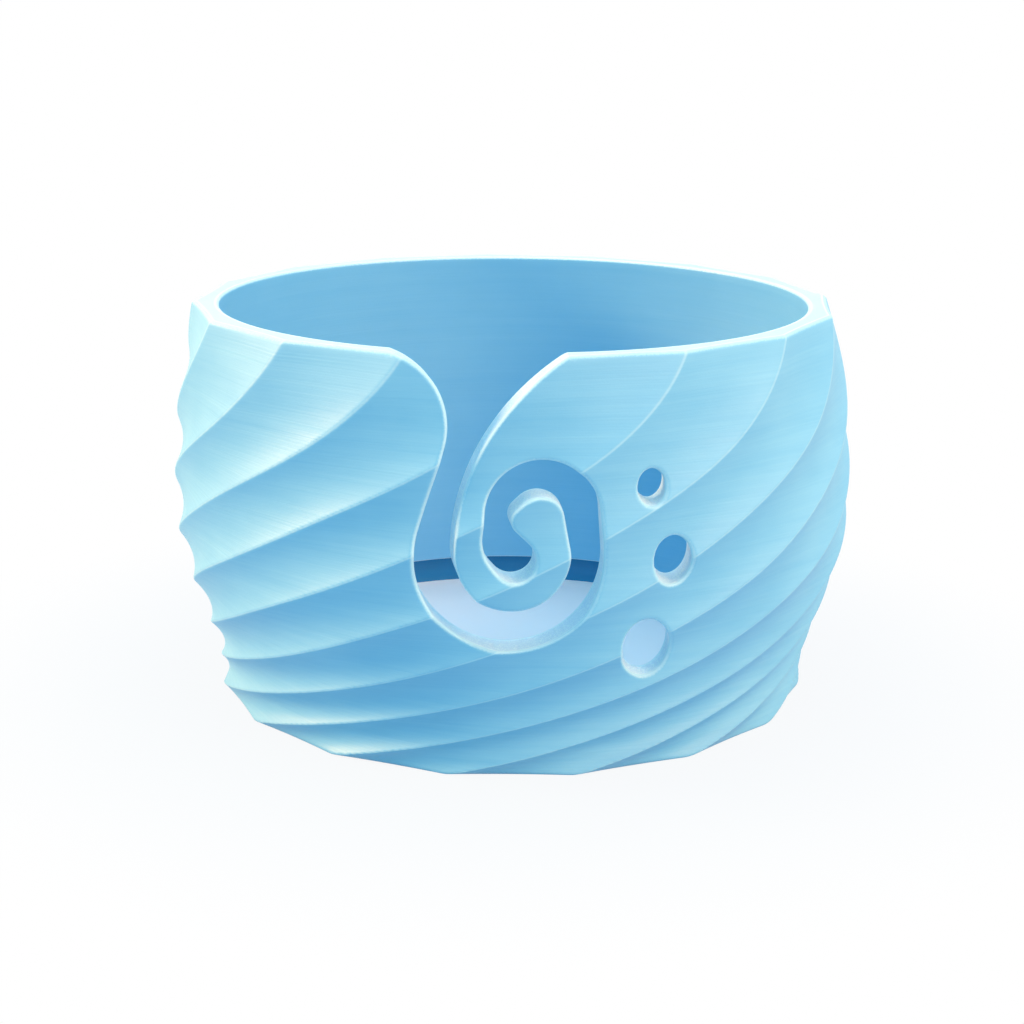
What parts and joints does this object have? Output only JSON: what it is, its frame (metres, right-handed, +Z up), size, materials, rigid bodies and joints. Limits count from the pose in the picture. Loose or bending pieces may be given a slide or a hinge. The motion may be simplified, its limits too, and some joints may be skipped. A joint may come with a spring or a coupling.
{
  "type": "yarn bowl",
  "caption": "Swirled plastic bowl that holds a ball of yarn and feeds the strand out through a spiral slot, with needle holes beside it.",
  "frame": {"origin": "middle of the flat underside", "axes": "+Z up through the mouth, -Y out through the front wall square to the spiral slot and needle holes, +X to the right when the slot is looked at"},
  "size_m": [0.1616, 0.1616, 0.092],
  "materials": {
    "bowl_plastic": "satin light blue plastic laid in fine level layers"
  },
  "bodies": {
    "root": {"bowl": "bowl_plastic"}
  },
  "joints": []
}
